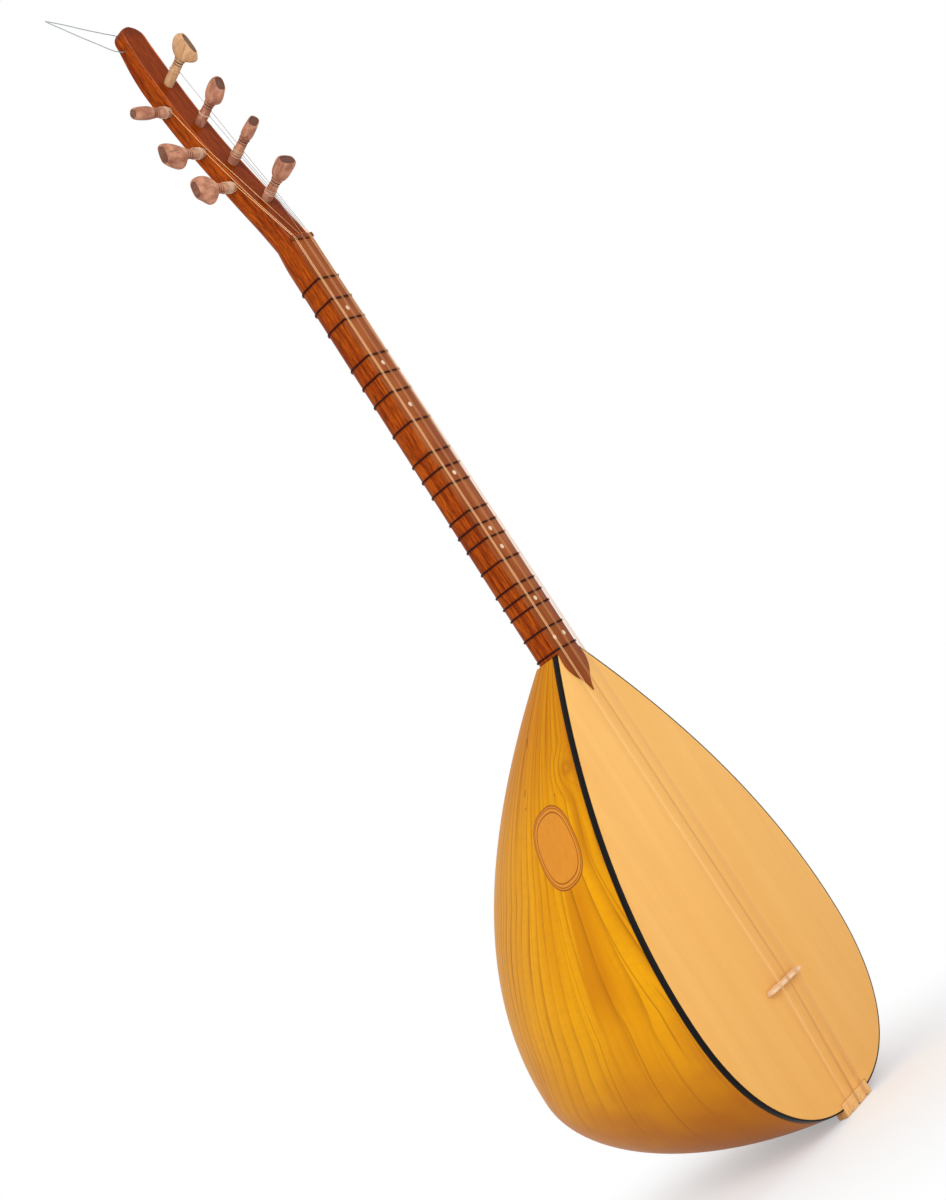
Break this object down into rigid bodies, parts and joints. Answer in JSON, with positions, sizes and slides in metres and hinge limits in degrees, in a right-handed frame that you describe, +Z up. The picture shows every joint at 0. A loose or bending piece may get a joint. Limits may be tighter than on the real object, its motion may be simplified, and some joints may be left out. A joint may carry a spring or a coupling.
{
  "type": "short-neck saz",
  "caption": "Plucked lute with a carved pear-shaped bowl, flat soundboard, tied frets on a slim neck, and flared tuning pegs on the front and side of its headstock.",
  "frame": {"origin": "in the middle of the tail end, on the plane of the soundboard's front", "axes": "+Z up along the neck, -Y out of the soundboard's front, +Y out of the back of the bowl, +X to the right of someone facing the front"},
  "size_m": [0.247, 0.2871, 1.0753],
  "materials": {
    "bowl_wood": "gloss lacquer over yellow-orange carved wood",
    "soundboard_wood": "satin varnish over straight-grained softwood",
    "binding_black": "glossy black edge strip",
    "neck_wood": "gloss varnish over reddish-brown wood",
    "fingerboard_wood": "satin brown wood with pale inlaid dots",
    "peg_wood": "unvarnished turned wood",
    "pale_wood": "pale bare wood",
    "fret_line": "dark maroon-brown tied line",
    "string_steel": "plain and wound steel string",
    "loop_line": "pale translucent nylon line"
  },
  "bodies": {
    "instrument": {"bowl": "bowl_wood", "soundboard": "soundboard_wood", "edge_binding_left": "binding_black", "edge_binding_right": "binding_black", "brace_lower": "pale_wood", "brace_upper": "pale_wood", "neck": "neck_wood", "fingerboard": "fingerboard_wood", "headstock": "neck_wood", "nut": "pale_wood", "tail_block": "pale_wood", "hanging_loop": "loop_line", "string_front_1": "string_steel", "string_front_2": "string_steel", "string_front_3": "string_steel", "string_front_4": "string_steel", "string_side_1": "string_steel", "string_side_2": "string_steel", "string_side_3": "string_steel"},
    "bridge": {"bridge": "pale_wood"},
    "peg_front_1": {"peg_front_1": "peg_wood", "winding_front_1": "string_steel"},
    "peg_front_2": {"peg_front_2": "peg_wood", "winding_front_2": "string_steel"},
    "peg_front_3": {"peg_front_3": "peg_wood", "winding_front_3": "string_steel"},
    "peg_front_4": {"peg_front_4": "peg_wood", "winding_front_4": "string_steel"},
    "peg_side_1": {"peg_side_1": "peg_wood", "winding_side_1": "string_steel"},
    "peg_side_2": {"peg_side_2": "peg_wood", "winding_side_2": "string_steel"},
    "peg_side_3": {"peg_side_3": "peg_wood", "winding_side_3": "string_steel"},
    "fret_01": {"fret_01": "fret_line"},
    "fret_02": {"fret_02": "fret_line"},
    "fret_03": {"fret_03": "fret_line"},
    "fret_04": {"fret_04": "fret_line"},
    "fret_05": {"fret_05": "fret_line"},
    "fret_06": {"fret_06": "fret_line"},
    "fret_07": {"fret_07": "fret_line"},
    "fret_08": {"fret_08": "fret_line"},
    "fret_09": {"fret_09": "fret_line"},
    "fret_10": {"fret_10": "fret_line"},
    "fret_11": {"fret_11": "fret_line"},
    "fret_12": {"fret_12": "fret_line"},
    "fret_13": {"fret_13": "fret_line"},
    "fret_14": {"fret_14": "fret_line"},
    "fret_15": {"fret_15": "fret_line"},
    "fret_16": {"fret_16": "fret_line"},
    "fret_17": {"fret_17": "fret_line"},
    "fret_18": {"fret_18": "fret_line"},
    "fret_19": {"fret_19": "fret_line"}
  },
  "joints": [
    {"name": "peg_front_1_turn", "type": "hinge", "parent": "instrument", "child": "peg_front_1", "pos_m": [0.0015, 0.02945, 0.9939], "axis": [0, -0.9703, 0.2419], "continuous": true},
    {"name": "peg_front_2_turn", "type": "hinge", "parent": "instrument", "child": "peg_front_2", "pos_m": [0.0015, 0.02489, 0.95014], "axis": [0, -0.9703, 0.2419], "continuous": true},
    {"name": "peg_front_3_turn", "type": "hinge", "parent": "instrument", "child": "peg_front_3", "pos_m": [0.0015, 0.01779, 0.90621], "axis": [0, -0.9703, 0.2419], "continuous": true},
    {"name": "peg_front_4_turn", "type": "hinge", "parent": "instrument", "child": "peg_front_4", "pos_m": [0.0015, 0.00907, 0.86309], "axis": [0, -0.9703, 0.2419], "continuous": true},
    {"name": "peg_side_1_turn", "type": "hinge", "parent": "instrument", "child": "peg_side_1", "pos_m": [-0.0147, 0.03278, 0.9689], "axis": [-0.9986, 0.0056, 0.052], "continuous": true},
    {"name": "peg_side_2_turn", "type": "hinge", "parent": "instrument", "child": "peg_side_2", "pos_m": [-0.0147, 0.02656, 0.92351], "axis": [-0.9986, 0.0086, 0.0516], "continuous": true},
    {"name": "peg_side_3_turn", "type": "hinge", "parent": "instrument", "child": "peg_side_3", "pos_m": [-0.0147, 0.01904, 0.88402], "axis": [-0.9986, 0.0104, 0.0513], "continuous": true},
    {"name": "bridge_shift", "type": "slide", "parent": "instrument", "child": "bridge", "axis": [0, 0, 1], "range_m": [-0.002, 0.002]},
    {"name": "fret_01_slide", "type": "slide", "parent": "instrument", "child": "fret_01", "axis": [0, 0, 1], "range_m": [-0.003, 0.003]},
    {"name": "fret_02_slide", "type": "slide", "parent": "instrument", "child": "fret_02", "axis": [0, 0, 1], "range_m": [-0.003, 0.003]},
    {"name": "fret_03_slide", "type": "slide", "parent": "instrument", "child": "fret_03", "axis": [0, 0, 1], "range_m": [-0.003, 0.003]},
    {"name": "fret_04_slide", "type": "slide", "parent": "instrument", "child": "fret_04", "axis": [0, 0, 1], "range_m": [-0.003, 0.003]},
    {"name": "fret_05_slide", "type": "slide", "parent": "instrument", "child": "fret_05", "axis": [0, 0, 1], "range_m": [-0.003, 0.003]},
    {"name": "fret_06_slide", "type": "slide", "parent": "instrument", "child": "fret_06", "axis": [0, 0, 1], "range_m": [-0.003, 0.003]},
    {"name": "fret_07_slide", "type": "slide", "parent": "instrument", "child": "fret_07", "axis": [0, 0, 1], "range_m": [-0.003, 0.003]},
    {"name": "fret_08_slide", "type": "slide", "parent": "instrument", "child": "fret_08", "axis": [0, 0, 1], "range_m": [-0.003, 0.003]},
    {"name": "fret_09_slide", "type": "slide", "parent": "instrument", "child": "fret_09", "axis": [0, 0, 1], "range_m": [-0.003, 0.003]},
    {"name": "fret_10_slide", "type": "slide", "parent": "instrument", "child": "fret_10", "axis": [0, 0, 1], "range_m": [-0.003, 0.003]},
    {"name": "fret_11_slide", "type": "slide", "parent": "instrument", "child": "fret_11", "axis": [0, 0, 1], "range_m": [-0.003, 0.003]},
    {"name": "fret_12_slide", "type": "slide", "parent": "instrument", "child": "fret_12", "axis": [0, 0, 1], "range_m": [-0.003, 0.003]},
    {"name": "fret_13_slide", "type": "slide", "parent": "instrument", "child": "fret_13", "axis": [0, 0, 1], "range_m": [-0.003, 0.003]},
    {"name": "fret_14_slide", "type": "slide", "parent": "instrument", "child": "fret_14", "axis": [0, 0, 1], "range_m": [-0.003, 0.003]},
    {"name": "fret_15_slide", "type": "slide", "parent": "instrument", "child": "fret_15", "axis": [0, 0, 1], "range_m": [-0.003, 0.003]},
    {"name": "fret_16_slide", "type": "slide", "parent": "instrument", "child": "fret_16", "axis": [0, 0, 1], "range_m": [-0.003, 0.003]},
    {"name": "fret_17_slide", "type": "slide", "parent": "instrument", "child": "fret_17", "axis": [0, 0, 1], "range_m": [-0.003, 0.003]},
    {"name": "fret_18_slide", "type": "slide", "parent": "instrument", "child": "fret_18", "axis": [0, 0, 1], "range_m": [-0.003, 0.003]},
    {"name": "fret_19_slide", "type": "slide", "parent": "instrument", "child": "fret_19", "axis": [0, 0, 1], "range_m": [-0.0015, 0.003]}
  ]
}
